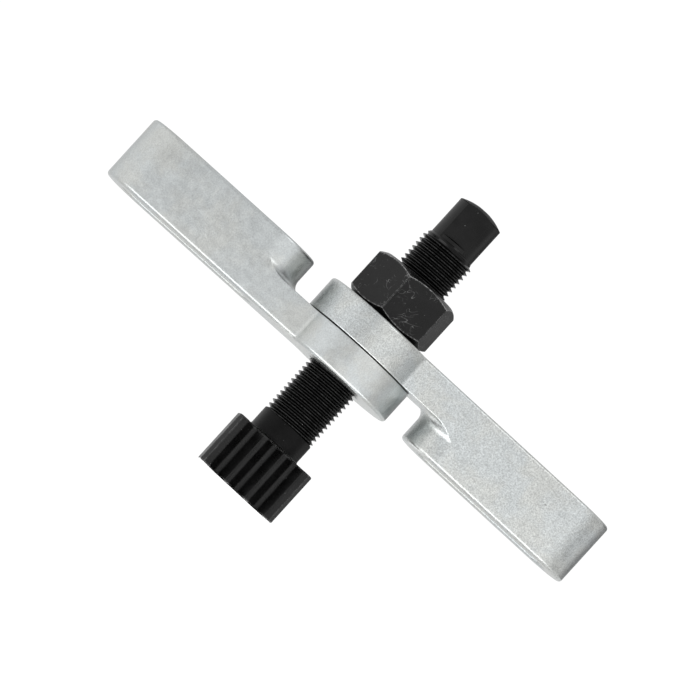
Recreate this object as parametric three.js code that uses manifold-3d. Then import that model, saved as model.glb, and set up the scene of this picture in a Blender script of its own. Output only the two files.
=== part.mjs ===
// Two-arm gear puller and ring-gear holder.
//
// A threaded spindle with a toothed head carries two slotted arms. Their round eyes are
// half-lapped, so they stack on the spindle and swing about it, and a hex nut clamps them.
//
// Millimetres. The origin is on the spindle's axis at the head's base, +Z runs up the
// spindle, and the two arms reach out towards -X and +X.

import * as THREE from 'three';
import { mergeVertices } from 'three/addons/utils/BufferGeometryUtils.js';
import Module from 'manifold-3d';

const wasm = await Module();
wasm.setup();

// ---- Driving dimensions ----

// Spindle: toothed head, plain shank, 5/8-18 thread, drive end with two spanner flats.
const HEAD_HEIGHT = 15.85;
const HEAD_HALF_WIDTH = 12.55;
const HEAD_FRONT = 8.8; // axis to the tooth crests
const HEAD_BACK = 9.2; // radius of the plain, round back
const HEAD_SIDE = 5.6; // depth of the flat sides behind the front corners
const HEAD_CORNER = 1.05; // bevel on the two front corners
const HEAD_TURN = 7.5; // degrees that the head is turned about the spindle's axis
const TOOTH_COUNT = 4;
const TOOTH_PITCH = 6.88;
const TOOTH_DEPTH = 2.8;
const TOOTH_CREST = 1.4; // width of a crest's flat land
const HEAD_EDGE = 0.5;
const SHANK_DIAMETER = 15.8;
const SHANK_FILLET = 1.0;
const THREAD_START = 21.95;
const THREAD_END = 84.65;
const THREAD_PITCH = 1.411;
const THREAD_MAJOR = 15.75;
const THREAD_MINOR = 14.0;
const DRIVE_DIAMETER = 13.5;
const DRIVE_FLATS = 11.0;
const DRIVE_TURN = -4.5;
const DOME_RADIUS = 15.5; // of the drive end's rounded top
const DOME_FLAT = 2.0; // radius of the small flat in its middle
const SPINDLE_LENGTH = 97.35;

// Arms: the left one lies lowest on the spindle, and the right one rests on it.
const EYE_RADIUS = 17.4;
const EYE_THICKNESS = 9.5;
const EYE_BORE = 16.5;
const ARM_WIDTH = 22.0;
const ARM_HEIGHT = 19.0;
const ARM_REACH = 79.2; // axis to the tip
const BLOCK_START = 23.5; // axis to the full-height block's inner end
const NECK_FILLET = 2.0; // in plan, from the eye into the arm's sides
const STEP_FILLET = 3.0; // in height, from the half-lap's floor up to the block
const SLOT_WIDTH = 11.0;
const ARM_EDGE = 0.9;
const ARM_SWEEP = 5.0; // degrees that each arm trails behind the X axis
const LEFT_ARM_Z = 39.2;
const RIGHT_ARM_Z = LEFT_ARM_Z + EYE_THICKNESS + 0.4;

// Nut.
const NUT_FLATS = 23.8;
const NUT_HEIGHT = 13.85;
const NUT_BORE = 16.4;
const NUT_CHAMFER_ANGLE = 30;
const NUT_TURN = -12.25; // degrees from a corner facing -Y
const NUT_Z = RIGHT_ARM_Z + EYE_THICKNESS + 0.3;

// Facets around a full circle.
const ROUND = 48;
const THREAD_FACETS = 20;

const rad = THREE.MathUtils.degToRad;

// ---- Finishes ----

const ZINC = { color: 0xc4c6c5, roughness: 0.42, metalness: 1.0 };
const BLACK_OXIDE = { color: 0x1b1b1c, roughness: 0.5, metalness: 0.6 };

// ---- Solids ----

function toSolid(geometry) {
  const plain = geometry.index ? geometry.toNonIndexed() : geometry.clone();
  plain.deleteAttribute('normal');
  plain.deleteAttribute('uv');
  const merged = mergeVertices(plain, 1e-4);
  return new wasm.Manifold(new wasm.Mesh({
    numProp: 3,
    vertProperties: Float32Array.from(merged.attributes.position.array),
    triVerts: Uint32Array.from(merged.index.array),
  }));
}

function toGeometry(solid) {
  const { vertProperties, triVerts } = solid.getMesh();
  const geometry = new THREE.BufferGeometry();
  geometry.setAttribute('position', new THREE.BufferAttribute(vertProperties, 3));
  geometry.setIndex(new THREE.BufferAttribute(triVerts, 1));
  geometry.computeVertexNormals();
  return geometry;
}

function toMesh(name, geometry, finish) {
  const mesh = new THREE.Mesh(geometry, new THREE.MeshStandardMaterial(finish));
  mesh.name = name;
  return mesh;
}

// A solid of revolution about Z from [radius, height] points that run upwards.
function turned(profile, facets = ROUND) {
  const points = profile.map(([radius, height]) => new THREE.Vector2(radius, height));
  return toSolid(new THREE.LatheGeometry(points, facets).rotateX(Math.PI / 2));
}

// An outline raised from one height to another, with its edges broken by edge.
function raised(shape, bottom, top, edge = 0) {
  const geometry = new THREE.ExtrudeGeometry(shape, {
    depth: top - bottom - 2 * edge,
    curveSegments: ROUND / 4,
    bevelEnabled: edge > 0,
    bevelThickness: edge,
    bevelSize: edge,
    bevelOffset: -edge,
    bevelSegments: 2,
  });
  return toSolid(geometry.translate(0, 0, bottom + edge));
}

// A slot or stadium along X between two end centres.
function stadium(start, end, radius) {
  const shape = new THREE.Shape();
  shape.absarc(start, 0, radius, Math.PI / 2, 1.5 * Math.PI, false);
  shape.absarc(end, 0, radius, -Math.PI / 2, Math.PI / 2, false);
  shape.closePath();
  return shape;
}

// ---- Spindle ----

// The gap between two teeth, seen from above: sloping flanks that meet in a rounded root.
function toothGap(centre) {
  const mouth = (TOOTH_PITCH - TOOTH_CREST) / 2;
  const flankEnd = mouth * 0.6;
  const root = HEAD_FRONT - TOOTH_DEPTH;
  const shape = new THREE.Shape();
  shape.moveTo(centre - mouth, -HEAD_FRONT - 1);
  shape.lineTo(centre - mouth, -HEAD_FRONT);
  shape.quadraticCurveTo(centre - flankEnd, -root, centre, -root);
  shape.quadraticCurveTo(centre + flankEnd, -root, centre + mouth, -HEAD_FRONT);
  shape.lineTo(centre + mouth, -HEAD_FRONT - 1);
  shape.closePath();
  return shape;
}

// The head's outline: a toothed front with bevelled corners, short flat sides, and a round
// back that the flanks meet as tangents.
function headOutline() {
  const sideEnd = HEAD_SIDE - HEAD_FRONT;
  const reach = Math.hypot(HEAD_HALF_WIDTH, sideEnd);
  const backStart = Math.atan2(sideEnd, HEAD_HALF_WIDTH) + Math.acos(HEAD_BACK / reach);
  const outline = new THREE.Shape();
  outline.moveTo(HEAD_CORNER - HEAD_HALF_WIDTH, -HEAD_FRONT);
  outline.lineTo(HEAD_HALF_WIDTH - HEAD_CORNER, -HEAD_FRONT);
  outline.lineTo(HEAD_HALF_WIDTH, HEAD_CORNER - HEAD_FRONT);
  outline.lineTo(HEAD_HALF_WIDTH, sideEnd);
  outline.absarc(0, 0, HEAD_BACK, backStart, Math.PI - backStart, false);
  outline.lineTo(-HEAD_HALF_WIDTH, sideEnd);
  outline.lineTo(-HEAD_HALF_WIDTH, HEAD_CORNER - HEAD_FRONT);
  outline.closePath();
  return outline;
}

function makeHead() {
  let head = raised(headOutline(), 0, HEAD_HEIGHT, HEAD_EDGE);
  for (let gap = 1; gap < TOOTH_COUNT; gap += 1) {
    const centre = (gap - TOOTH_COUNT / 2) * TOOTH_PITCH;
    head = head.subtract(raised(toothGap(centre), -1, HEAD_HEIGHT + 1));
  }
  return head.rotate([0, 0, HEAD_TURN]);
}

// A right-hand helical thread. Each row of points is a root or a crest that climbs one pitch
// a turn, so a row's end meets the start of the row two above it, and the two rows added
// past the last one each lend it only their first point.
function makeThread(bottom, top) {
  const rows = 2 * Math.ceil((top - bottom) / THREAD_PITCH) + 2;
  const vertices = [];
  const triangles = [];
  const vertexAt = (row, step) => (step < THREAD_FACETS
    ? row * THREAD_FACETS + step
    : (row + 2) * THREAD_FACETS);
  for (let row = 0; row < rows + 2; row += 1) {
    const radius = (row % 2 === 0 ? THREAD_MINOR : THREAD_MAJOR) / 2;
    for (let step = 0; step < THREAD_FACETS; step += 1) {
      const turn = step / THREAD_FACETS;
      const angle = 2 * Math.PI * turn;
      const height = bottom + (row / 2 - 1 + turn) * THREAD_PITCH;
      vertices.push(radius * Math.cos(angle), radius * Math.sin(angle), height);
    }
  }
  const lowerHub = vertices.length / 3;
  vertices.push(0, 0, bottom - THREAD_PITCH);
  const upperHub = lowerHub + 1;
  vertices.push(0, 0, bottom + (rows / 2 + 1) * THREAD_PITCH);
  for (let row = 0; row < rows - 1; row += 1) {
    for (let step = 0; step < THREAD_FACETS; step += 1) {
      const a = vertexAt(row, step);
      const b = vertexAt(row, step + 1);
      const c = vertexAt(row + 1, step + 1);
      const d = vertexAt(row + 1, step);
      triangles.push(a, b, c, a, c, d);
    }
  }
  for (let step = 0; step < THREAD_FACETS; step += 1) {
    triangles.push(lowerHub, vertexAt(0, step + 1), vertexAt(0, step));
    triangles.push(upperHub, vertexAt(rows - 1, step), vertexAt(rows - 1, step + 1));
  }
  triangles.push(lowerHub, vertexAt(1, 0), vertexAt(2, 0), lowerHub, vertexAt(0, 0), vertexAt(1, 0));
  triangles.push(
    upperHub, vertexAt(rows + 1, 0), vertexAt(rows, 0),
    upperHub, vertexAt(rows, 0), vertexAt(rows - 1, 0),
  );
  const geometry = new THREE.BufferGeometry();
  geometry.setAttribute('position', new THREE.Float32BufferAttribute(vertices, 3));
  geometry.setIndex(triangles);
  return toSolid(geometry);
}

function makeSpindle() {
  const shank = SHANK_DIAMETER / 2;
  const core = THREAD_MINOR / 2;
  const major = THREAD_MAJOR / 2;
  const drive = DRIVE_DIAMETER / 2;
  const endChamfer = major - drive;
  const buried = HEAD_FRONT - TOOTH_DEPTH - 0.5;
  const shankBody = turned([
    [0, HEAD_HEIGHT - 2],
    [buried, HEAD_HEIGHT - 2],
    [buried, HEAD_HEIGHT - 0.05],
    [shank + SHANK_FILLET, HEAD_HEIGHT - 0.05],
    [shank + SHANK_FILLET * 0.3, HEAD_HEIGHT + SHANK_FILLET * 0.3],
    [shank, HEAD_HEIGHT + SHANK_FILLET],
    [shank, THREAD_START],
    [core - 0.2, THREAD_START + shank - core],
    [core - 0.2, THREAD_START + 3],
    [0, THREAD_START + 3],
  ]);
  const threadEnvelope = turned([
    [0, THREAD_START],
    [shank + 1, THREAD_START],
    [shank + 1, THREAD_END - endChamfer - 1],
    [major + 0.01, THREAD_END - endChamfer],
    [drive, THREAD_END],
    [0, THREAD_END],
  ]);
  const thread = makeThread(THREAD_START, THREAD_END).intersect(threadEnvelope);

  const domeHeight = (radius) => Math.sqrt(DOME_RADIUS ** 2 - radius ** 2);
  const dome = [];
  const domeSteps = 8;
  for (let step = 0; step <= domeSteps; step += 1) {
    const radius = drive + (DOME_FLAT - drive) * (step / domeSteps);
    dome.push([radius, SPINDLE_LENGTH + domeHeight(radius) - domeHeight(DOME_FLAT)]);
  }
  const driveRound = turned([
    [0, THREAD_END - 2],
    [drive, THREAD_END - 2],
    ...dome,
    [0, SPINDLE_LENGTH],
  ]);
  const flat = new THREE.BoxGeometry(DRIVE_DIAMETER + 2, 4, SPINDLE_LENGTH - THREAD_END + 1);
  const flatOffset = DRIVE_FLATS / 2 + 2;
  const flatHeight = (SPINDLE_LENGTH + THREAD_END + 1) / 2;
  const flats = [-1, 1].map((side) => toSolid(flat).translate([0, side * flatOffset, flatHeight]));
  const driveEnd = driveRound.subtract(flats[0]).subtract(flats[1]).rotate([0, 0, DRIVE_TURN]);

  return makeHead().add(shankBody).add(thread).add(driveEnd);
}

// ---- Arms ----

// The eye and the plate of one arm, seen from above: a ring that blends into a bar.
function armOutline() {
  const half = ARM_WIDTH / 2;
  const blendY = half + NECK_FILLET;
  const blendX = Math.sqrt((EYE_RADIUS + NECK_FILLET) ** 2 - blendY ** 2);
  const blendAngle = Math.atan2(blendY, blendX);
  const tipX = ARM_REACH - half;
  const shape = new THREE.Shape();
  shape.absarc(0, 0, EYE_RADIUS, blendAngle, -blendAngle, false);
  shape.absarc(blendX, -blendY, NECK_FILLET, Math.PI - blendAngle, Math.PI / 2, true);
  shape.absarc(tipX, 0, half, -Math.PI / 2, Math.PI / 2, false);
  shape.absarc(blendX, blendY, NECK_FILLET, -Math.PI / 2, blendAngle - Math.PI, true);
  shape.closePath();
  return shape;
}

// What the half-lap takes away above the eye's plate. It stops at the block's round inner
// end, which flares into the floor with a fillet and has the same broken edge on top.
function lapCut(innerCentre) {
  const half = ARM_WIDTH / 2;
  const steps = 5;
  const profile = [[0, EYE_THICKNESS - 1], [half + STEP_FILLET, EYE_THICKNESS - 1]];
  for (let step = 0; step <= steps; step += 1) {
    const angle = (Math.PI / 2) * (step / steps);
    const radius = half + STEP_FILLET * (1 - Math.sin(angle));
    profile.push([radius, EYE_THICKNESS + STEP_FILLET * (1 - Math.cos(angle))]);
  }
  profile.push(
    [half, ARM_HEIGHT - ARM_EDGE],
    [half - ARM_EDGE * 0.3, ARM_HEIGHT - ARM_EDGE * 0.3],
    [half - ARM_EDGE, ARM_HEIGHT],
    [half - ARM_EDGE, ARM_HEIGHT + 2],
    [0, ARM_HEIGHT + 2],
  );
  const innerEnd = turned(profile).translate([innerCentre, 0, 0]);
  const length = innerCentre + EYE_RADIUS + 1;
  const height = ARM_HEIGHT + 1 - EYE_THICKNESS;
  const box = toSolid(new THREE.BoxGeometry(length, 2 * EYE_RADIUS + 2, height));
  const centreX = innerCentre - length / 2;
  return box.translate([centreX, 0, EYE_THICKNESS + height / 2]).subtract(innerEnd);
}

// One arm along +X with its eye on the origin and its underside at height 0.
function makeArmSolid() {
  const half = ARM_WIDTH / 2;
  const innerCentre = BLOCK_START + half;
  const outerCentre = ARM_REACH - half;
  const bar = raised(armOutline(), 0, ARM_HEIGHT, ARM_EDGE);
  const slot = raised(stadium(innerCentre, outerCentre, SLOT_WIDTH / 2), -1, ARM_HEIGHT + 1);
  const bore = turned([[0, -1], [EYE_BORE / 2, -1], [EYE_BORE / 2, ARM_HEIGHT], [0, ARM_HEIGHT]]);
  return bar.subtract(lapCut(innerCentre)).subtract(slot).subtract(bore);
}

// Both arms are the same forging. The lower one lies the right way up, so its block rises
// past the seam between the eyes, and the upper one is turned over, so its block hangs down.
function makeArms() {
  const arm = toGeometry(makeArmSolid());

  const left = toMesh('lower_arm', arm, ZINC);
  left.rotation.z = rad(180 - ARM_SWEEP);
  left.position.z = LEFT_ARM_Z;

  const right = toMesh('upper_arm', arm.clone(), ZINC);
  right.rotation.x = Math.PI;
  const rightHolder = new THREE.Group();
  rightHolder.rotation.z = rad(ARM_SWEEP);
  rightHolder.position.z = RIGHT_ARM_Z + EYE_THICKNESS;
  rightHolder.add(right);

  return [left, rightHolder];
}

// ---- Nut ----

function makeHexNut() {
  const cornerRadius = NUT_FLATS / 2 / Math.cos(rad(30));
  const washerRadius = NUT_FLATS / 2 - 0.7;
  const chamfer = (cornerRadius - washerRadius) * Math.tan(rad(NUT_CHAMFER_ANGLE));
  const prism = toSolid(
    new THREE.CylinderGeometry(cornerRadius, cornerRadius, NUT_HEIGHT, 6).rotateX(Math.PI / 2),
  ).translate([0, 0, NUT_HEIGHT / 2]);
  const rounding = turned([
    [0, 0],
    [washerRadius, 0],
    [cornerRadius, chamfer],
    [cornerRadius, NUT_HEIGHT - chamfer],
    [washerRadius, NUT_HEIGHT],
    [0, NUT_HEIGHT],
  ]);
  const bore = turned([
    [0, -1],
    [NUT_BORE / 2 + 1, -1],
    [NUT_BORE / 2 + 1, 0],
    [NUT_BORE / 2, 0.8],
    [NUT_BORE / 2, NUT_HEIGHT - 0.8],
    [NUT_BORE / 2 + 1, NUT_HEIGHT],
    [NUT_BORE / 2 + 1, NUT_HEIGHT + 1],
    [0, NUT_HEIGHT + 1],
  ]);
  return prism.intersect(rounding).subtract(bore);
}

// ---- Assembly ----

const gearPuller = new THREE.Group();
gearPuller.add(toMesh('spindle', toGeometry(makeSpindle()), BLACK_OXIDE));
gearPuller.add(...makeArms());

const nut = toMesh('hex_nut', toGeometry(makeHexNut()), BLACK_OXIDE);
nut.rotation.z = rad(NUT_TURN);
nut.position.z = NUT_Z;
gearPuller.add(nut);

export default gearPuller;
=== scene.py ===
"""Looks of the gear puller: a toothed black spindle, a black nut and two zinc-plated arms.

Every length below is in millimetres until it reaches a mesh, where MM turns it into metres.
Every angle is in degrees until a function turns it into radians.
"""

import math

import bpy
from mathutils import Matrix, Vector


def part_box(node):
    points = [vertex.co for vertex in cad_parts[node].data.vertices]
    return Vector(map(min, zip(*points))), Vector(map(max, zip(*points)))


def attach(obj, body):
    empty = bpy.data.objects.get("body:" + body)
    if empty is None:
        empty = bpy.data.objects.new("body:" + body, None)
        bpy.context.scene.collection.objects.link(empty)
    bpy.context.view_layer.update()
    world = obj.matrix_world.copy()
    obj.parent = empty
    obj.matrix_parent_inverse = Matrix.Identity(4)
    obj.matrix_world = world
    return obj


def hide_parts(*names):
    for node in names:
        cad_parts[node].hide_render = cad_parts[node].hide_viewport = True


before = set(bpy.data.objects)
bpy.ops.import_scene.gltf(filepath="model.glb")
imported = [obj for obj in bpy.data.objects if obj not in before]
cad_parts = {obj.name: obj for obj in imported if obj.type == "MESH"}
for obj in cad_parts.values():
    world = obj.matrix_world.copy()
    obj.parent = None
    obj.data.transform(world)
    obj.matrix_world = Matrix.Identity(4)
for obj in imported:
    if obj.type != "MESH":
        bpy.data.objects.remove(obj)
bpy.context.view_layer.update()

MM = 0.001

# ---- Heights from the frame ----

SPINDLE_TOP = (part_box("spindle")[1] / MM).z
LOWER_ARM_FOOT = (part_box("lower_arm")[0] / MM).z
UPPER_ARM_FOOT, UPPER_ARM_TOP = ((corner / MM).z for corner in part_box("upper_arm"))
NUT_FOOT, NUT_TOP = ((corner / MM).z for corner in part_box("hex_nut"))
ARM_HEIGHT = UPPER_ARM_TOP - UPPER_ARM_FOOT

# ---- The spindle's dimensions ----

HEAD_HEIGHT = 15.85
HEAD_HALF_WIDTH = 12.55
HEAD_FRONT = 8.8  # from the axis to the tips of the teeth
HEAD_BACK = 9.2  # radius of the round back
HEAD_SIDE = 5.6  # depth of the short flat sides, from the front
HEAD_TURN = 7.5  # about the axis, from facing -Y
HEAD_CORNER = 1.05  # bevel beside the outer teeth
HEAD_CORNER_ROUND = 0.25
HEAD_SIDE_ROUND = 0.6  # where a flat side meets the back
HEAD_EDGE = 0.4
TOOTH_COUNT = 4
TOOTH_PITCH = 6.88
TOOTH_DEPTH = 2.8
TOOTH_CREST = 1.0
TOOTH_ROOT = 1.25
TOOTH_CREST_ROUND = 0.92
TOOTH_ROOT_ROUND = 1.15

SHANK_RADIUS = 7.9
SHANK_FILLET = 1.0
SHANK_SINK = 0.03  # how far inside the head the fillet starts
SHANK_FOOT_DEPTH = 3  # length of the foot that joins the shank to the head
SHANK_FOOT_MARGIN = 0.5  # between that foot and the roots of the teeth
SHANK_BEVEL = (0.12, 0.25)  # at the thread's start, across and along the axis
SHANK_CORE = (0.2, 0.55)  # under the thread's root, and past the thread's start

THREAD_START = 21.85
THREAD_END = 84.65
HELIX_START = 18.95  # sets where the crests fall
THREAD_PITCH = 1.411
THREAD_MAJOR = 7.9  # radius of the crests
THREAD_MINOR = 7.0  # radius of the roots
THREAD_PLAY = 0.12  # between the spindle's thread and the nut's
THREAD_CROWN = 0.01  # how far a crest's middle stands out
THREAD_HOLLOW = 0.03  # how far a root's middle dips
THREAD_LEAD_SLOPE = 1.2  # length of the bevel on the last turns against its depth
THREAD_LEAD_SINK = 0.1  # how far that bevel ends inside the drive end
THREAD_OVERRUN = 0.4  # how far the helix runs on into the drive end

DRIVE_RADIUS = 6.75
DRIVE_FOOT = 2  # length of the drive end that is inside the thread
DRIVE_FLATS = 11.0  # from one flat to the other
DRIVE_FLAT_START = 0.15  # above the thread's end
DRIVE_TURN = -4.5
DOME_RADIUS = 15.5  # of the rounded top
DOME_FLAT = 2.0  # radius of the small flat in its middle
DOME_BEVEL = (0.08, 0.1)  # at the dome's rim, across and along the axis

# ---- The arms' and the nut's dimensions ----

EYE_RADIUS = 17.4
EYE_THICKNESS = 9.5
EYE_BORE = 8.25  # radius
BORE_EDGE = 0.4
ARM_HALF_WIDTH = 11.0
ARM_REACH = 79.2
ARM_EDGE = 0.9
ARM_SWEEP = 5.0  # each arm's turn from the X axis
BLOCK_START = 23.5  # from the spindle's axis to the block's inner end
NECK_FILLET = 2.0
STEP_FILLET = 3.0
SLOT_HALF_WIDTH = 5.5
SLOT_EDGE = 0.5

NUT_FLATS = 23.8
NUT_TURN = -12.25
NUT_EDGE = 0.25
NUT_CHAMFER_ANGLE = 30.0
NUT_CHAMFER_START = 0.7  # inside the flats
NUT_FACE_BEVEL = (0.3, 0.08)  # where the end faces meet the chamfer
COUNTERSINK_RIM = 0.45  # past the thread's crest
COUNTERSINK_DEPTH = 1.2
TAP_TURNS_BELOW = 3  # turns of the tap under the nut
TAP_OVERRUN = 3  # how far it runs above it

# ---- Fineness ----

ROUND = 144  # points round a full circle
THREAD_FACETS = 72
CORNER_STEPS = 6
EDGE_STEPS = 5
NECK_STEPS = 8
SHANK_FILLET_STEPS = 6
STEP_FILLET_STEPS = 12
DOME_STEPS = 12
PAST = 1  # how far a cutting tool runs past a surface
TOUCHING = 1e-4  # points nearer than this are one point
NEARLY_STRAIGHT = 89.5  # half of a corner's angle above which it isn't rounded
MITRE_LIMIT = 0.3  # keeps the offset of a sharp corner short
SHARP_ANGLE = 35.0  # bends sharper than this stay hard
NORMAL_WEIGHT = 60


# ---- Outlines, seen from above ----

def arc(centre, radius, start, end, steps):
    """Points of an arc from start to end in degrees, both ends included."""
    points = []
    for step in range(steps + 1):
        angle = math.radians(start + (end - start) * step / steps)
        points.append((centre[0] + radius * math.cos(angle), centre[1] + radius * math.sin(angle)))
    return points


def without_repeats(points):
    """The closed outline with points that lie on the one before left out."""
    kept = []
    for point in points:
        if not kept or math.dist(point, kept[-1]) > TOUCHING:
            kept.append(point)
    if math.dist(kept[0], kept[-1]) < TOUCHING:
        kept.pop()
    return kept


def rounded(corners):
    """A closed outline from (x, y, radius) corners, each turned into an arc of its radius."""
    points = []
    count = len(corners)
    for index, (x, y, radius) in enumerate(corners):
        corner = Vector((x, y))
        before = (Vector(corners[index - 1][:2]) - corner).normalized()
        after = (Vector(corners[(index + 1) % count][:2]) - corner).normalized()
        half = before.angle(after) / 2
        if radius <= 0 or half > math.radians(NEARLY_STRAIGHT):
            points.append((x, y))
            continue
        centre = corner + (before + after).normalized() * radius / math.sin(half)
        first = corner + before * radius / math.tan(half) - centre
        last = corner + after * radius / math.tan(half) - centre
        sweep = first.angle_signed(last)
        for step in range(CORNER_STEPS + 1):
            spoke = Matrix.Rotation(-sweep * step / CORNER_STEPS, 2) @ first
            points.append(tuple(centre + spoke))
    return without_repeats(points)


def offset(points, inset):
    """The closed, anticlockwise outline moved inwards by inset."""
    moved = []
    count = len(points)
    for index in range(count):
        here = Vector(points[index])
        before = here - Vector(points[index - 1])
        after = Vector(points[(index + 1) % count]) - here
        normal_before = Vector((-before.y, before.x)).normalized()
        normal_after = Vector((-after.y, after.x)).normalized()
        normal = (normal_before + normal_after).normalized()
        moved.append(tuple(here + normal * inset / max(normal.dot(normal_after), MITRE_LIMIT)))
    return moved


def arm_outline():
    """The eye, the neck's two fillets and the bar with its round tip."""
    blend_y = ARM_HALF_WIDTH + NECK_FILLET
    blend_x = math.sqrt((EYE_RADIUS + NECK_FILLET) ** 2 - blend_y ** 2)
    angle = math.degrees(math.atan2(blend_y, blend_x))
    tip = (ARM_REACH - ARM_HALF_WIDTH, 0)
    points = arc((0, 0), EYE_RADIUS, angle, 360 - angle, ROUND)
    points += arc((blend_x, -blend_y), NECK_FILLET, 180 - angle, 90, NECK_STEPS)
    points += arc(tip, ARM_HALF_WIDTH, -90, 90, ROUND // 2)
    points += arc((blend_x, blend_y), NECK_FILLET, -90, angle - 180, NECK_STEPS)
    return without_repeats(points)


def slot_outline():
    """The slot, concentric with the block's two round ends."""
    inner = (BLOCK_START + ARM_HALF_WIDTH, 0)
    outer = (ARM_REACH - ARM_HALF_WIDTH, 0)
    points = arc(inner, SLOT_HALF_WIDTH, 90, 270, ROUND // 4)
    points += arc(outer, SLOT_HALF_WIDTH, -90, 90, ROUND // 4)
    return without_repeats(points)


def head_outline():
    """The toothed front with bevelled corners, short flat sides and a round back."""
    side_end = HEAD_SIDE - HEAD_FRONT
    corners = [
        (-HEAD_HALF_WIDTH, HEAD_CORNER - HEAD_FRONT, HEAD_CORNER_ROUND),
        (HEAD_CORNER - HEAD_HALF_WIDTH, -HEAD_FRONT, HEAD_CORNER_ROUND),
    ]
    for gap in range(1, TOOTH_COUNT):
        centre = (gap - TOOTH_COUNT / 2) * TOOTH_PITCH
        mouth = (TOOTH_PITCH - TOOTH_CREST) / 2
        root = TOOTH_ROOT / 2
        corners += [
            (centre - mouth, -HEAD_FRONT, TOOTH_CREST_ROUND),
            (centre - root, TOOTH_DEPTH - HEAD_FRONT, TOOTH_ROOT_ROUND),
            (centre + root, TOOTH_DEPTH - HEAD_FRONT, TOOTH_ROOT_ROUND),
            (centre + mouth, -HEAD_FRONT, TOOTH_CREST_ROUND),
        ]
    corners += [
        (HEAD_HALF_WIDTH - HEAD_CORNER, -HEAD_FRONT, HEAD_CORNER_ROUND),
        (HEAD_HALF_WIDTH, HEAD_CORNER - HEAD_FRONT, HEAD_CORNER_ROUND),
        (HEAD_HALF_WIDTH, side_end, HEAD_SIDE_ROUND),
    ]
    reach = math.hypot(HEAD_HALF_WIDTH, side_end)
    start = math.atan2(side_end, HEAD_HALF_WIDTH) + math.acos(HEAD_BACK / reach)
    back = arc((0, 0), HEAD_BACK, math.degrees(start), 180 - math.degrees(start), ROUND // 3)
    corners += [(x, y, 0) for x, y in back]
    corners.append((-HEAD_HALF_WIDTH, side_end, HEAD_SIDE_ROUND))
    return rounded(corners)


# ---- Solids ----

def make_object(name, vertices, faces):
    """A mesh object from points in millimetres."""
    mesh = bpy.data.meshes.new(name)
    mesh.from_pydata([Vector(v) * MM for v in vertices], [], faces)
    mesh.update()
    piece = bpy.data.objects.new(name, mesh)
    bpy.context.scene.collection.objects.link(piece)
    return piece


def prism(name, outline, levels):
    """A closed solid: the outline stacked at (height, inset) levels from the bottom up."""
    vertices = []
    faces = []
    count = len(outline)
    for height, inset in levels:
        ring = offset(outline, inset) if inset else outline
        vertices += [(x, y, height) for x, y in ring]
    faces.append(list(range(count - 1, -1, -1)))
    for level in range(len(levels) - 1):
        low = level * count
        high = low + count
        for index in range(count):
            after = (index + 1) % count
            faces.append([low + index, low + after, high + after, high + index])
    top = (len(levels) - 1) * count
    faces.append(list(range(top, top + count)))
    return make_object(name, vertices, faces)


def turned(name, profile):
    """A solid of revolution about Z. The profile runs upwards and starts and ends on the axis."""
    vertices = [(0, 0, profile[0][1])]
    rings = profile[1:-1]
    for radius, height in rings:
        for step in range(ROUND):
            angle = 2 * math.pi * step / ROUND
            vertices.append((radius * math.cos(angle), radius * math.sin(angle), height))
    vertices.append((0, 0, profile[-1][1]))
    last = len(vertices) - 1
    faces = []
    for step in range(ROUND):
        after = (step + 1) % ROUND
        faces.append([0, 1 + after, 1 + step])
        for ring in range(len(rings) - 1):
            low = 1 + ring * ROUND
            high = low + ROUND
            faces.append([low + step, low + after, high + after, high + step])
        top = 1 + (len(rings) - 1) * ROUND
        faces.append([top + step, top + after, last])
    return make_object(name, vertices, faces)


def block(name, low, high):
    """A plain box, used only as a cutting tool."""
    outline = [(low[0], low[1]), (high[0], low[1]), (high[0], high[1]), (low[0], high[1])]
    return prism(name, outline, [(low[2], 0), (high[2], 0)])


def combine(target, tool, operation):
    """Cuts tool from target, or joins or intersects it, and removes tool."""
    modifier = target.modifiers.new("combine", "BOOLEAN")
    modifier.operation = operation
    modifier.solver = "MANIFOLD"
    modifier.object = tool
    with bpy.context.temp_override(object=target, active_object=target):
        bpy.ops.object.modifier_apply(modifier=modifier.name)
    mesh = tool.data
    bpy.data.objects.remove(tool)
    bpy.data.meshes.remove(mesh)
    return target


def edge_levels(low, high, edge):
    """Levels of an upright wall with a rounded edge at its foot and at its top."""
    levels = []
    for step in range(EDGE_STEPS + 1):
        turn = math.pi / 2 * step / EDGE_STEPS
        levels.append((low + edge * (1 - math.cos(turn)), edge * (1 - math.sin(turn))))
    for step in range(EDGE_STEPS + 1):
        turn = math.pi / 2 * (1 - step / EDGE_STEPS)
        levels.append((high - edge * (1 - math.cos(turn)), edge * (1 - math.sin(turn))))
    return levels


def mouth_levels(low, high, edge):
    """Levels of a cutter that leaves rounded mouths on the two faces that it runs through."""
    flared = [(height, -inset) for height, inset in edge_levels(low, high, edge)]
    return [(low - PAST, -edge)] + flared + [(high + PAST, -edge)]


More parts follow.
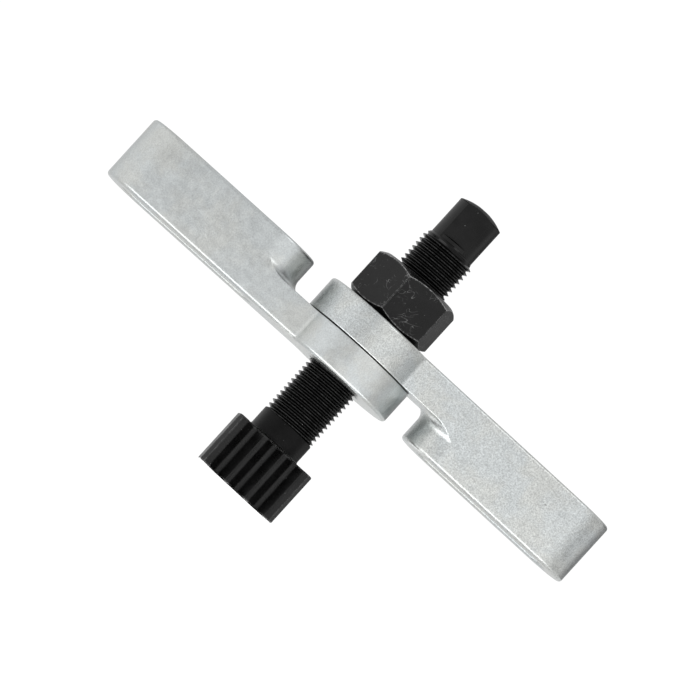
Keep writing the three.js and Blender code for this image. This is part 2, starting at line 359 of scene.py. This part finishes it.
def thread(name, low, high, profile, limit):
    """A right-hand thread as a closed solid. The profile holds (share of a pitch, radius)
    points, each of which becomes a helix, and limit(height) is the largest radius there."""
    per_turn = len(profile)
    rows = per_turn * math.ceil((high - low) / THREAD_PITCH)
    vertices = []
    for row in range(rows + per_turn):
        share, radius = profile[row % per_turn]
        for step in range(THREAD_FACETS):
            turn = step / THREAD_FACETS
            angle = 2 * math.pi * turn
            height = low + (row // per_turn + share + turn) * THREAD_PITCH
            reach = min(radius, limit(height))
            vertices.append((reach * math.cos(angle), reach * math.sin(angle), height))
    kept = rows * THREAD_FACETS
    ends = [vertices[row * THREAD_FACETS] for row in range(rows, rows + per_turn)]
    vertices = vertices[:kept] + ends

    def at(row, step):
        if step == THREAD_FACETS:
            row, step = row + per_turn, 0
        if row >= rows:
            return kept + row - rows
        return row * THREAD_FACETS + step

    foot = len(vertices)
    vertices.append((0, 0, low - THREAD_PITCH))
    crown = foot + 1
    vertices.append((0, 0, high + 2 * THREAD_PITCH))
    faces = []
    for row in range(rows - 1):
        for step in range(THREAD_FACETS):
            lower = [at(row, step), at(row, step + 1)]
            faces.append(lower + [at(row + 1, step + 1), at(row + 1, step)])
    for step in range(THREAD_FACETS):
        faces.append([foot, at(0, step + 1), at(0, step)])
        faces.append([crown, at(rows - 1, step), at(rows - 1, step + 1)])
    for row in range(per_turn):
        faces.append([foot, at(row, 0), at(row + 1, 0)])
        faces.append([crown, at(rows + row, 0), at(rows - 1 + row, 0)])
    return make_object(name, vertices, faces)


def thread_profile(play=0.0):
    """A 60-degree thread with a narrow crest and a slightly hollow root."""
    crest = THREAD_MAJOR + play
    root = THREAD_MINOR + play
    return [
        (0.00, root), (0.07, root - THREAD_HOLLOW), (0.14, root),
        (0.51, crest), (0.57, crest + THREAD_CROWN), (0.63, crest),
    ]


def finish_surface(piece):
    """Smooth shading that stays flat on flat faces and breaks at real edges."""
    mesh = piece.data
    mesh.shade_smooth()
    mesh.set_sharp_from_angle(angle=math.radians(SHARP_ANGLE))
    weighted = piece.modifiers.new("weighted_normals", "WEIGHTED_NORMAL")
    weighted.keep_sharp = True
    weighted.weight = NORMAL_WEIGHT


def place(piece, turn=0.0, height=0.0, turned_over=False):
    """Turns the mesh about Z and lifts it, so the object itself stays at the origin."""
    matrix = Matrix.Translation((0, 0, height * MM)) @ Matrix.Rotation(math.radians(turn), 4, "Z")
    if turned_over:
        matrix = matrix @ Matrix.Rotation(math.pi, 4, "X")
    piece.data.transform(matrix)
    piece.data.update()


# ---- The spindle ----

def make_shank():
    """The plain shank with its fillet on the head and its bevel at the thread's start."""
    foot_radius = HEAD_FRONT - TOOTH_DEPTH - SHANK_FOOT_MARGIN
    foot = HEAD_HEIGHT - SHANK_FOOT_DEPTH
    start = HEAD_HEIGHT - SHANK_SINK
    profile = [(0, foot), (foot_radius, foot), (foot_radius, start)]
    for step in range(SHANK_FILLET_STEPS + 1):
        angle = math.pi / 2 * step / SHANK_FILLET_STEPS
        radius = SHANK_RADIUS + SHANK_FILLET * (1 - math.sin(angle))
        profile.append((radius, start + SHANK_FILLET * (1 - math.cos(angle))))
    profile += [
        (SHANK_RADIUS, THREAD_START - SHANK_BEVEL[1]),
        (SHANK_RADIUS - SHANK_BEVEL[0], THREAD_START),
        (THREAD_MINOR - SHANK_CORE[0], THREAD_START + SHANK_CORE[1]),
        (0, THREAD_START + SHANK_CORE[1]),
    ]
    return turned("shank", profile)


def make_screw():
    """The spindle's thread, bevelled down to the drive end over its last turns."""
    lead = (THREAD_MAJOR - DRIVE_RADIUS) * THREAD_LEAD_SLOPE

    def bevelled(height):
        above = height - (THREAD_END - lead)
        if above < 0:
            return THREAD_MAJOR
        return max(THREAD_MAJOR - above / THREAD_LEAD_SLOPE, DRIVE_RADIUS - THREAD_LEAD_SINK)

    return thread("screw", HELIX_START, THREAD_END + THREAD_OVERRUN, thread_profile(), bevelled)


def make_drive():
    """The round drive end with its domed top and two flats."""
    crown = math.sqrt(DOME_RADIUS ** 2 - DOME_FLAT ** 2)

    def drop(radius):
        return crown - math.sqrt(DOME_RADIUS ** 2 - radius ** 2)

    foot = THREAD_END - DRIVE_FOOT
    outline = [(0, foot), (DRIVE_RADIUS, foot)]
    outline.append((DRIVE_RADIUS, SPINDLE_TOP - drop(DRIVE_RADIUS) - DOME_BEVEL[1]))
    rim = DRIVE_RADIUS - DOME_BEVEL[0]
    for step in range(DOME_STEPS + 1):
        radius = rim + (DOME_FLAT - DRIVE_RADIUS + DOME_BEVEL[0]) * step / DOME_STEPS
        outline.append((radius, SPINDLE_TOP - drop(radius)))
    outline.append((0, SPINDLE_TOP))
    drive = turned("drive", outline)
    for side in (-1, 1):
        near = side * DRIVE_FLATS / 2
        far = side * (DRIVE_FLATS / 2 + 4 * PAST)
        low = (-DRIVE_RADIUS - PAST, min(near, far), THREAD_END + DRIVE_FLAT_START)
        high = (DRIVE_RADIUS + PAST, max(near, far), SPINDLE_TOP + PAST)
        combine(drive, block("flat", low, high), "DIFFERENCE")
    place(drive, turn=DRIVE_TURN)
    return drive


def make_spindle():
    """The toothed head, the shank, the thread and the drive end as one solid."""
    spindle = prism("spindle_body", head_outline(), edge_levels(0, HEAD_HEIGHT, HEAD_EDGE))
    place(spindle, turn=HEAD_TURN)
    for part in (make_shank(), make_screw(), make_drive()):
        combine(spindle, part, "UNION")
    return spindle


# ---- The arms ----

def lap_cutter():
    """The space above the eye's plate, up to the block's round inner end and its fillet."""
    centre = BLOCK_START + ARM_HALF_WIDTH
    foot = EYE_THICKNESS - PAST
    profile = [(0, foot), (ARM_HALF_WIDTH + STEP_FILLET, foot)]
    for step in range(STEP_FILLET_STEPS + 1):
        angle = math.pi / 2 * step / STEP_FILLET_STEPS
        radius = ARM_HALF_WIDTH + STEP_FILLET * (1 - math.sin(angle))
        profile.append((radius, EYE_THICKNESS + STEP_FILLET * (1 - math.cos(angle))))
    for step in range(EDGE_STEPS + 1):
        angle = math.pi / 2 * step / EDGE_STEPS
        radius = ARM_HALF_WIDTH - ARM_EDGE * (1 - math.cos(angle))
        profile.append((radius, ARM_HEIGHT - ARM_EDGE * (1 - math.sin(angle))))
    top = ARM_HEIGHT + 2 * PAST
    profile += [(ARM_HALF_WIDTH - ARM_EDGE, top), (0, top)]
    inner_end = turned("inner_end", profile)
    inner_end.data.transform(Matrix.Translation((centre * MM, 0, 0)))
    low = (-EYE_RADIUS - PAST, -EYE_RADIUS - PAST, EYE_THICKNESS)
    cutter = block("lap", low, (centre, EYE_RADIUS + PAST, ARM_HEIGHT + PAST))
    return combine(cutter, inner_end, "DIFFERENCE")


def make_arm(name):
    """One forging along +X, with its eye on the origin and its plate's face at height 0."""
    arm = prism(name, arm_outline(), edge_levels(0, ARM_HEIGHT, ARM_EDGE))
    combine(arm, lap_cutter(), "DIFFERENCE")
    slot_levels = mouth_levels(0, ARM_HEIGHT, SLOT_EDGE)
    combine(arm, prism("slot", slot_outline(), slot_levels), "DIFFERENCE")
    bore = without_repeats(arc((0, 0), EYE_BORE, 0, 360, ROUND))
    bore_levels = mouth_levels(0, EYE_THICKNESS, BORE_EDGE)
    combine(arm, prism("bore", bore, bore_levels), "DIFFERENCE")
    return arm


# ---- The nut ----

def make_nut():
    """A hexagon chamfered at both ends, threaded and countersunk."""
    height = NUT_TOP - NUT_FOOT
    corner = NUT_FLATS / 2 / math.cos(math.radians(30))
    face = NUT_FLATS / 2 - NUT_CHAMFER_START
    chamfer = (corner - face) * math.tan(math.radians(NUT_CHAMFER_ANGLE))
    hexagon = [
        (corner * math.cos(math.radians(60 * k)), corner * math.sin(math.radians(60 * k)), NUT_EDGE)
        for k in range(6)
    ]
    nut = prism("hex_nut_body", rounded(hexagon), [(0, 0), (height, 0)])
    across, along = NUT_FACE_BEVEL
    rounding = turned("rounding", [
        (0, 0),
        (face - across, 0),
        (face, along),
        (corner, chamfer),
        (corner, height - chamfer),
        (face, height - along),
        (face - across, height),
        (0, height),
    ])
    combine(nut, rounding, "INTERSECT")
    place(nut, turn=NUT_TURN - 90, height=NUT_FOOT)

    turns_below = math.floor((NUT_FOOT - HELIX_START) / THREAD_PITCH) - TAP_TURNS_BELOW
    tap_foot = HELIX_START + turns_below * THREAD_PITCH
    tap_top = NUT_TOP + TAP_OVERRUN
    tap = thread("tap", tap_foot, tap_top, thread_profile(THREAD_PLAY), lambda _: math.inf)
    combine(nut, tap, "DIFFERENCE")
    rim = THREAD_MAJOR + COUNTERSINK_RIM
    core = THREAD_MINOR - PAST
    low, high = NUT_FOOT + COUNTERSINK_DEPTH, NUT_TOP - COUNTERSINK_DEPTH
    for profile in (
        [(0, NUT_FOOT - PAST), (rim, NUT_FOOT - PAST), (rim, NUT_FOOT), (core, low), (0, low)],
        [(0, high), (core, high), (rim, NUT_TOP), (rim, NUT_TOP + PAST), (0, NUT_TOP + PAST)],
    ):
        combine(nut, turned("countersink", profile), "DIFFERENCE")
    return nut


# ---- Materials ----

ZINC_COOL = (0.60, (0.955, 1.0, 1.004))  # lightness and tint
ZINC_WARM = (0.60, (0.978, 1.0, 0.972))
ZINC_ROUGH = (0.31, 0.38)
ZINC_SOFT_EDGE = 0.5
ZINC_GRAIN_DEPTH = 0.08  # at a grit of 1
ZINC_PATCH_DEPTH = 0.02
ZINC_SCRATCH_DEPTH = 0.006
ZINC_SCRATCH_DARK = 0.07
ZINC_SCRATCH_TURNS = ((0, 0, 0), (0, 38, 20), (0, -52, 70))
ZINC_NICK_DEPTH = 0.05
ZINC_NICK_DARK = 0.55

OXIDE_DARK = (0.0006, (1, 1, 1.05))
OXIDE_PALE = (0.0018, (1, 1, 1.02))
OXIDE_GRAIN_DEPTH = 0.010
OXIDE_CLOUD_DEPTH = 0.03
# Bare steel along edges: partly real wear, partly a painted highlight line on them.
OXIDE_WORN_AND_HIGHLIT_EDGE = 0.5
OXIDE_SPECK = 0.45  # how far bare steel shows in a speck
OXIDE_SCRATCH_LEVEL = 0.56  # the noise's value along a scratch
OXIDE_SCRATCH_DEPTH = 0.008
OXIDE_SCRATCH_TURNS = ((10, 25, 0), (0, -50, 60), (0, 70, 140), (30, 15, 220))
RUBBED_AND_HIGHLIT_CREST = (0.16, 0.04)  # under the crest, where rubbing and a painted highlight line start and are full
BARE_STEEL = 0.45
BARE_METALLIC = 0.9
EDGE_BEND = (0.998, 0.95)  # cosines of the bends where an edge starts and is full
BEVEL_SAMPLES = 8


def grey(value, tint=(1.0, 1.0, 1.0)):
    """An opaque colour of this lightness."""
    return (value * tint[0], value * tint[1], value * tint[2], 1.0)


class Shader:
    """A new material with short calls to add and join its nodes."""

    def __init__(self, name):
        self.material = bpy.data.materials.new(name)
        self.material.use_nodes = True
        self.tree = self.material.node_tree
        self.principled = self.tree.nodes["Principled BSDF"]
        self.points = self.add("ShaderNodeTexCoord").outputs["Object"]

    def add(self, kind, settings=None, **inputs):
        """A new node. An input is named by its own name, or by its number after an i."""
        node = self.tree.nodes.new(kind)
        for key, value in (settings or {}).items():
            setattr(node, key, value)
        for key, value in inputs.items():
            self.set(node.inputs[int(key[1:]) if key[1:].isdigit() else key], value)
        return node

    def set(self, socket, value):
        """Joins a node's output to the socket, or gives the socket a constant."""
        if isinstance(value, bpy.types.NodeSocket):
            self.tree.links.new(value, socket)
        else:
            socket.default_value = value

    def surface(self, **inputs):
        """Sets the surface's own inputs, with spaces in their names as underscores."""
        for key, value in inputs.items():
            self.set(self.principled.inputs[key.replace("_", " ")], value)

    def math(self, operation, a, b=0.0):
        return self.add("ShaderNodeMath", {"operation": operation}, i0=a, i1=b).outputs[0]

    def stretched(self, scale, turn=(0, 0, 0)):
        """The object's own points, in millimetres, scaled by axis after a turn."""
        turned_by = [math.radians(angle) for angle in turn]
        size = [value / MM for value in scale]
        mapping = self.add(
            "ShaderNodeMapping", {"vector_type": "POINT"}, Vector=self.points, Rotation=turned_by
        )
        return self.add(
            "ShaderNodeVectorMath", {"operation": "MULTIPLY"}, i0=mapping.outputs[0], i1=size
        ).outputs[0]

    def noise(self, per_mm, detail=3.0, roughness=0.55, distortion=0.0, turn=(0, 0, 0)):
        """Noise from 0 to 1 with per_mm features a millimetre, one number or one an axis."""
        scale = per_mm if isinstance(per_mm, tuple) else (per_mm,) * 3
        node = self.add("ShaderNodeTexNoise", Vector=self.stretched(scale, turn), Scale=1.0,
                        Detail=detail, Roughness=roughness, Distortion=distortion)
        return node.outputs["Fac"]

    def ramp(self, value, low, high, start=0.0, end=1.0):
        """Takes low..high to start..end, smoothly and clamped."""
        node = self.add("ShaderNodeMapRange", {"interpolation_type": "SMOOTHSTEP"}, Value=value)
        limits = {"From Min": low, "From Max": high, "To Min": start, "To Max": end}
        for key, number in limits.items():
            node.inputs[key].default_value = number
        return node.outputs["Result"]

    def mix(self, share, a, b):
        """Colour a where share is 0 and b where it is 1."""
        node = self.add("ShaderNodeMix", {"data_type": "RGBA"})
        self.set(node.inputs["Factor"], share)
        self.set(node.inputs["A"], a)
        self.set(node.inputs["B"], b)
        return node.outputs["Result"]

    def darkened(self, value, mask, share):
        """The value, less this share of it where the mask is 1."""
        kept = self.math("SUBTRACT", 1.0, self.math("MULTIPLY", mask, share))
        return self.math("MULTIPLY", value, kept)

    def softened(self, radius):
        """The normal, with edges rounded over radius millimetres."""
        bevel = self.add("ShaderNodeBevel", {"samples": BEVEL_SAMPLES}, Radius=radius * MM)
        return bevel.outputs[0]

    def edges(self, radius):
        """From 0 on open surfaces to 1 on edges, within radius millimetres of them."""
        soft = self.softened(radius)
        normal = self.add("ShaderNodeNewGeometry").outputs["Normal"]
        dot = self.add("ShaderNodeVectorMath", {"operation": "DOT_PRODUCT"}, i0=soft, i1=normal)
        return self.ramp(dot.outputs["Value"], *EDGE_BEND)

    def bump(self, layers, normal=None):
        """Bump from (height value, depth in millimetres) layers, over a normal if one is given."""
        for value, depth in layers:
            node = self.add("ShaderNodeBump", Height=value, Strength=1.0, Distance=depth * MM)
            if normal is not None:
                self.set(node.inputs["Normal"], normal)
            normal = node.outputs["Normal"]
        self.set(self.principled.inputs["Normal"], normal)


def zinc_material(name, grit):
    """Satin zinc plate: pale grey with cool and warm clouds, fine scratches and nicks.

    grit is how strong its grain is, in shade and in depth.
    """
    shader = Shader(name)
    clouds = shader.noise(0.09, detail=4, distortion=0.4)
    patches = shader.noise(0.45, detail=5, roughness=0.65)
    grain = shader.noise(2.6, detail=3, roughness=0.8)
    base = shader.mix(shader.ramp(clouds, 0.38, 0.62), grey(*ZINC_COOL), grey(*ZINC_WARM))
    mottled = shader.ramp(patches, 0.3, 0.7, 0.972, 1.028)
    grainy = shader.ramp(grain, 0.3, 0.7, 1 - grit, 1 + grit)
    value = shader.math("MULTIPLY", mottled, grainy)

    scratch = 0.0
    for turn in ZINC_SCRATCH_TURNS:
        lines = shader.noise((0.16, 4.2, 4.2), detail=1, turn=turn)
        scratch = shader.math("MAXIMUM", scratch, shader.ramp(lines, 0.70, 0.76))
    value = shader.darkened(value, scratch, ZINC_SCRATCH_DARK)

    cells = shader.add("ShaderNodeTexVoronoi", {"feature": "F1"}, Scale=1.0, Randomness=1.0,
                       Vector=shader.stretched((0.11, 0.11, 0.16), (20, 35, 10)))
    near = shader.ramp(cells.outputs["Distance"], 0.075, 0.03)
    cell_value = shader.add("ShaderNodeSeparateColor", i0=cells.outputs["Color"]).outputs[0]
    picked = shader.ramp(cell_value, 0.72, 0.76)
    ragged = shader.ramp(grain, 0.4, 0.55)
    nick = shader.math("MULTIPLY", shader.math("MULTIPLY", near, picked), ragged)
    value = shader.darkened(value, nick, ZINC_NICK_DARK)

    tinted = shader.add("ShaderNodeVectorMath", {"operation": "SCALE"}, i0=base, Scale=value)
    rough = shader.ramp(patches, 0.3, 0.7, *ZINC_ROUGH)
    shader.surface(Base_Color=tinted.outputs[0], Metallic=1.0, Roughness=rough)
    layers = [
        (grain, ZINC_GRAIN_DEPTH * grit),
        (patches, ZINC_PATCH_DEPTH),
        (scratch, -ZINC_SCRATCH_DEPTH),
        (nick, -ZINC_NICK_DEPTH),
    ]
    shader.bump(layers, shader.softened(ZINC_SOFT_EDGE))
    return shader.material


def black_material(name, shine, edge_wear_and_highlight, marks=0.0, rough=(0.26, 0.36), crest=0.0, glaze=0.4):
    """Oiled black oxide of a given shine.

    The edge wear, marks and crest are how far bare steel shows on edges, in scratches and on the
    tops of a thread; on edges and on those tops it is partly real wear and partly a painted
    highlight. glaze is the shine's tint. The lower it is, the less the shine grows from a square
    view to a slanting one.
    """
    shader = Shader(name)
    clouds = shader.noise(0.25, detail=4)
    grain = shader.noise(3.0, detail=4, roughness=0.7)
    base = shader.mix(shader.ramp(clouds, 0.35, 0.65), grey(*OXIDE_DARK), grey(*OXIDE_PALE))

    broken = shader.ramp(shader.noise(1.3, detail=3), 0.40, 0.60, 0.25, 1.0)
    # Bare steel along the edges, partly real wear and partly a painted highlight line.
    worn_and_highlit_edges = shader.math("MULTIPLY", broken, edge_wear_and_highlight)
    bare_and_highlit = shader.math("MULTIPLY", shader.edges(OXIDE_WORN_AND_HIGHLIT_EDGE), worn_and_highlit_edges)
    specks = shader.ramp(shader.noise(1.6, detail=1, roughness=0.3), 0.80, 0.83)
    bare_and_highlit = shader.math("MAXIMUM", bare_and_highlit, shader.math("MULTIPLY", specks, OXIDE_SPECK))
    layers = [(grain, OXIDE_GRAIN_DEPTH), (clouds, OXIDE_CLOUD_DEPTH)]
    if marks:
        scratch = 0.0
        for turn in OXIDE_SCRATCH_TURNS:
            lines = shader.noise((0.08, 0.8, 0.8), detail=0, turn=turn)
            off_line = shader.math("SUBTRACT", lines, OXIDE_SCRATCH_LEVEL)
            line = shader.ramp(shader.math("ABSOLUTE", off_line), 0.020, 0.004)
            patch = shader.ramp(shader.noise(0.22, detail=2, turn=turn), 0.56, 0.64)
            scratch = shader.math("MAXIMUM", scratch, shader.math("MULTIPLY", line, patch))
        bare_and_highlit = shader.math("MAXIMUM", bare_and_highlit, shader.math("MULTIPLY", scratch, marks))
        layers.append((scratch, -OXIDE_SCRATCH_DEPTH))
    # Bare steel on the thread's tops: partly real rubbing, partly a painted highlight line.
    if crest:
        flat = shader.add("ShaderNodeVectorMath", {"operation": "MULTIPLY"}, i0=shader.points,
                          i1=(1 / MM, 1 / MM, 0))
        radius = shader.add("ShaderNodeVectorMath", {"operation": "LENGTH"}, i0=flat.outputs[0])
        start, full = (THREAD_MAJOR - depth for depth in RUBBED_AND_HIGHLIT_CREST)
        top = shader.ramp(radius.outputs["Value"], start, full)
        rubbed_and_highlit = shader.math("MULTIPLY", top, shader.math("MULTIPLY", broken, crest))
        bare_and_highlit = shader.math("MAXIMUM", bare_and_highlit, rubbed_and_highlit)

    shader.surface(
        Base_Color=shader.mix(bare_and_highlit, base, grey(BARE_STEEL)),
        Metallic=shader.math("MULTIPLY", bare_and_highlit, BARE_METALLIC),
        Roughness=shader.ramp(clouds, 0.3, 0.7, *rough),
        Specular_IOR_Level=shine / glaze,
        Specular_Tint=grey(glaze),
    )
    shader.bump(layers)
    return shader.material


# ---- Studio ----

VIEW_BELOW = 3.3  # how far below level the camera looks from
VIEW_ROLL = 42.3
VIEW_WIDTH = 180.9
VIEW_CENTRE = (-1.58, 47.32)
CAMERA_DISTANCE = 18.0
CLIP_START, CLIP_END = 0.0001, 100  # metres

FLOOR_GAP = 1.75  # under the head
FLOOR_REACH = 2500
FLOOR_GREY = 0.80
FLOOR_ROUGH = 0.9
FLOOR_SHINE = 0.1
FLOOR_GLOW = 0.22
UNDERSIDE_GAP = 0.05  # under the floor
UNDERSIDE_GLOW = 1.10

HORIZON = (  # azimuth from -Y towards +X, and the light from there
    (-180, 0.80), (-165, 0.75), (-150, 0.70), (-132, 0.78), (-112, 1.10), (-90, 1.40),
    (-66, 1.20), (-46, 0.78), (-24, 0.55), (-8, 0.53), (6, 0.96), (22, 1.62), (40, 1.16),
    (58, 0.74), (76, 0.44), (90, 0.46), (101, 0.86), (112, 0.86), (123, 0.32), (134, 0.10),
    (150, 0.16), (163, 0.30), (172, 0.60), (180, 0.80),
)
OVERHEAD = 0.74
OVERHEAD_RISE = (0.30, 0.75)  # the direction's z where the horizon gives way to the overhead light
BACKDROP = 1.05  # strength of the white that the camera sees


def make_camera():
    """Looks along +Y from just below level, rolled so that the spindle leans to the right."""
    data = bpy.data.cameras.new("camera")
    data.type = "ORTHO"
    data.ortho_scale = VIEW_WIDTH * MM
    data.clip_start = CLIP_START
    data.clip_end = CLIP_END
    camera = bpy.data.objects.new("camera", data)
    bpy.context.scene.collection.objects.link(camera)

    below = math.radians(VIEW_BELOW)
    roll = math.radians(VIEW_ROLL)
    forward = Vector((0, math.cos(below), math.sin(below)))
    across = Vector((1, 0, 0))
    upright = Vector((0, -math.sin(below), math.cos(below)))
    right = across * math.cos(roll) + upright * math.sin(roll)
    up = upright * math.cos(roll) - across * math.sin(roll)
    stand = across * VIEW_CENTRE[0] + upright * VIEW_CENTRE[1] - forward * CAMERA_DISTANCE
    axes = Matrix((right, up, -forward)).transposed().to_4x4()
    camera.matrix_world = Matrix.Translation(stand * MM) @ axes
    bpy.context.scene.camera = camera


def make_sheet(name, height, glow):
    """A wide flat sheet of the studio floor."""
    low, high = -FLOOR_REACH, FLOOR_REACH
    corners = [(low, low, height), (high, low, height), (high, high, height), (low, high, height)]
    sheet = make_object(name, corners, [[0, 1, 2, 3]])
    shader = Shader(name)
    shader.surface(
        Base_Color=grey(FLOOR_GREY),
        Roughness=FLOOR_ROUGH,
        Specular_IOR_Level=FLOOR_SHINE,
        Emission_Color=grey(1.0),
        Emission_Strength=glow,
    )
    sheet.data.materials.append(shader.material)


def make_floor():
    """A pale floor just under the head, with a white underside that the low camera sees."""
    make_sheet("floor", -FLOOR_GAP, FLOOR_GLOW)
    make_sheet("floor_underside", -FLOOR_GAP - UNDERSIDE_GAP, UNDERSIDE_GLOW)


def make_world():
    """A white studio seen by the camera, and soft light that varies round the horizon."""
    world = bpy.data.worlds.new("studio")
    bpy.context.scene.world = world
    world.use_nodes = True
    nodes, links = world.node_tree.nodes, world.node_tree.links
    nodes.clear()
    direction = nodes.new("ShaderNodeTexCoord").outputs["Generated"]
    split = nodes.new("ShaderNodeSeparateXYZ")
    links.new(direction, split.inputs[0])

    flipped = nodes.new("ShaderNodeMath")
    flipped.operation = "MULTIPLY"
    flipped.inputs[1].default_value = -1
    links.new(split.outputs["Y"], flipped.inputs[0])
    azimuth = nodes.new("ShaderNodeMath")
    azimuth.operation = "ARCTAN2"
    links.new(split.outputs["X"], azimuth.inputs[0])
    links.new(flipped.outputs[0], azimuth.inputs[1])
    share = nodes.new("ShaderNodeMapRange")
    share.inputs["From Min"].default_value = -math.pi
    share.inputs["From Max"].default_value = math.pi
    links.new(azimuth.outputs[0], share.inputs["Value"])
    around = nodes.new("ShaderNodeValToRGB")
    around.color_ramp.interpolation = "B_SPLINE"
    stops = around.color_ramp.elements
    for index, (degrees, strength) in enumerate(HORIZON):
        position = (degrees + 180) / 360
        stop = stops[index] if index < 2 else stops.new(position)
        stop.position = position
        stop.color = grey(strength)
    links.new(share.outputs["Result"], around.inputs["Fac"])

    overhead = nodes.new("ShaderNodeMapRange")
    overhead.interpolation_type = "SMOOTHSTEP"
    overhead.inputs["From Min"].default_value = OVERHEAD_RISE[0]
    overhead.inputs["From Max"].default_value = OVERHEAD_RISE[1]
    links.new(split.outputs["Z"], overhead.inputs["Value"])
    sky = nodes.new("ShaderNodeMix")
    sky.data_type = "RGBA"
    links.new(overhead.outputs["Result"], sky.inputs["Factor"])
    links.new(around.outputs["Color"], sky.inputs["A"])
    sky.inputs["B"].default_value = grey(OVERHEAD)
    light = nodes.new("ShaderNodeBackground")
    links.new(sky.outputs["Result"], light.inputs["Color"])

    white = nodes.new("ShaderNodeBackground")
    white.inputs["Color"].default_value = grey(1.0)
    white.inputs["Strength"].default_value = BACKDROP
    path = nodes.new("ShaderNodeLightPath")
    chosen = nodes.new("ShaderNodeMixShader")
    links.new(path.outputs["Is Camera Ray"], chosen.inputs["Fac"])
    links.new(light.outputs[0], chosen.inputs[1])
    links.new(white.outputs[0], chosen.inputs[2])
    output = nodes.new("ShaderNodeOutputWorld")
    links.new(chosen.outputs[0], output.inputs["Surface"])


def make_softbox(name, position, aim, size, radiance):
    """A rectangular light of size (width, height) with an even radiance, unseen by the camera."""
    width, height = size[0] * MM, size[1] * MM
    data = bpy.data.lights.new(name, "AREA")
    data.shape = "RECTANGLE"
    data.size = width
    data.size_y = height
    data.energy = radiance * math.pi * width * height
    light = bpy.data.objects.new(name, data)
    bpy.context.scene.collection.objects.link(light)
    light.location = Vector(position) * MM
    light.rotation_euler = (Vector(aim) - Vector(position)).to_track_quat("-Z", "Y").to_euler()
    light.visible_camera = False


def make_lights():
    """A key above, and glows at floor height under the base and along the arms' lower edges."""
    make_softbox("key", position=(250, -500, 650), aim=(0, 0, 48), size=(300, 300), radiance=2.2)
    make_softbox("base_glow", position=(0, 10, -1.2), aim=(0, 10, 50), size=(36, 50), radiance=1.35)
    make_softbox(
        "front_glow", position=(0, -105, -1.2), aim=(0, -105, 50), size=(420, 100), radiance=2.35
    )


# ---- Assembly ----

BASE_BAND = 0.2  # height of the faces that count as the base
BASE_FACING = -0.7  # and how far down they look
DOME_FACING = 0.5
FACE_MARGIN = 0.05  # how far a face may stand off the level that bounds its part


def add_piece(piece, node, material):
    """Finishes a piece and puts it on its body in the place of its CAD node."""
    piece.data.materials.clear()
    piece.data.materials.append(material)
    finish_surface(piece)
    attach(piece, node)
    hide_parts(node)


def spindle_part(face):
    """The part of the spindle that a face belongs to."""
    height = face.center.z / MM
    across = (Matrix.Rotation(math.radians(-HEAD_TURN), 3, "Z") @ face.center).x / MM
    if height < BASE_BAND and face.normal.z < BASE_FACING:
        return "base"
    if height < HEAD_HEIGHT - FACE_MARGIN and abs(across) > HEAD_HALF_WIDTH - HEAD_CORNER:
        return "corner"
    if height <= HEAD_HEIGHT + FACE_MARGIN:
        return "head"
    if height < THREAD_START:
        return "shank"
    if height < THREAD_END + 2 * FACE_MARGIN:
        return "thread"
    return "dome" if face.normal.z > DOME_FACING else "drive"


def finish_spindle(piece):
    """Gives each part of the spindle its own finish. The drive end keeps the first one."""
    finishes = {
        "head": black_material("black_oxide_head", 0.30, 0.6),
        "base": black_material("black_oxide_base", 0.26, 0.1, rough=(0.08, 0.12), glaze=1.0),
        "shank": black_material("black_oxide_shank", 0.12, 0.0, rough=(0.3, 0.4)),
        "thread": black_material(
            "black_oxide_thread", 0.18, 0.0, rough=(0.14, 0.22), crest=0.06, glaze=0.08
        ),
        "corner": black_material("black_oxide_corner", 0.50, 0.8, rough=(0.3, 0.4)),
        "dome": black_material("black_oxide_dome", 0.03, 0.0, rough=(0.3, 0.4), glaze=1.0),
    }
    parts = ["drive", *finishes]
    for material in finishes.values():
        piece.data.materials.append(material)
    for face in piece.data.polygons:
        face.material_index = parts.index(spindle_part(face))


spindle = make_spindle()
add_piece(spindle, "spindle", black_material("black_oxide", 0.31, 0.0, glaze=0.12))
finish_spindle(spindle)
nut_finish = black_material("nut_black_oxide", 0.30, 0.8, marks=0.22)
add_piece(make_nut(), "hex_nut", nut_finish)

lower_arm = make_arm("lower_arm_body")
place(lower_arm, turn=180 - ARM_SWEEP, height=LOWER_ARM_FOOT)
add_piece(lower_arm, "lower_arm", zinc_material("zinc_plate", 0.13))

upper_arm = make_arm("upper_arm_body")
place(upper_arm, turn=ARM_SWEEP, height=UPPER_ARM_TOP, turned_over=True)
add_piece(upper_arm, "upper_arm", zinc_material("coarse_zinc_plate", 0.28))

make_floor()
make_world()
make_camera()
make_lights()

bpy.context.scene.view_settings.view_transform = "Standard"
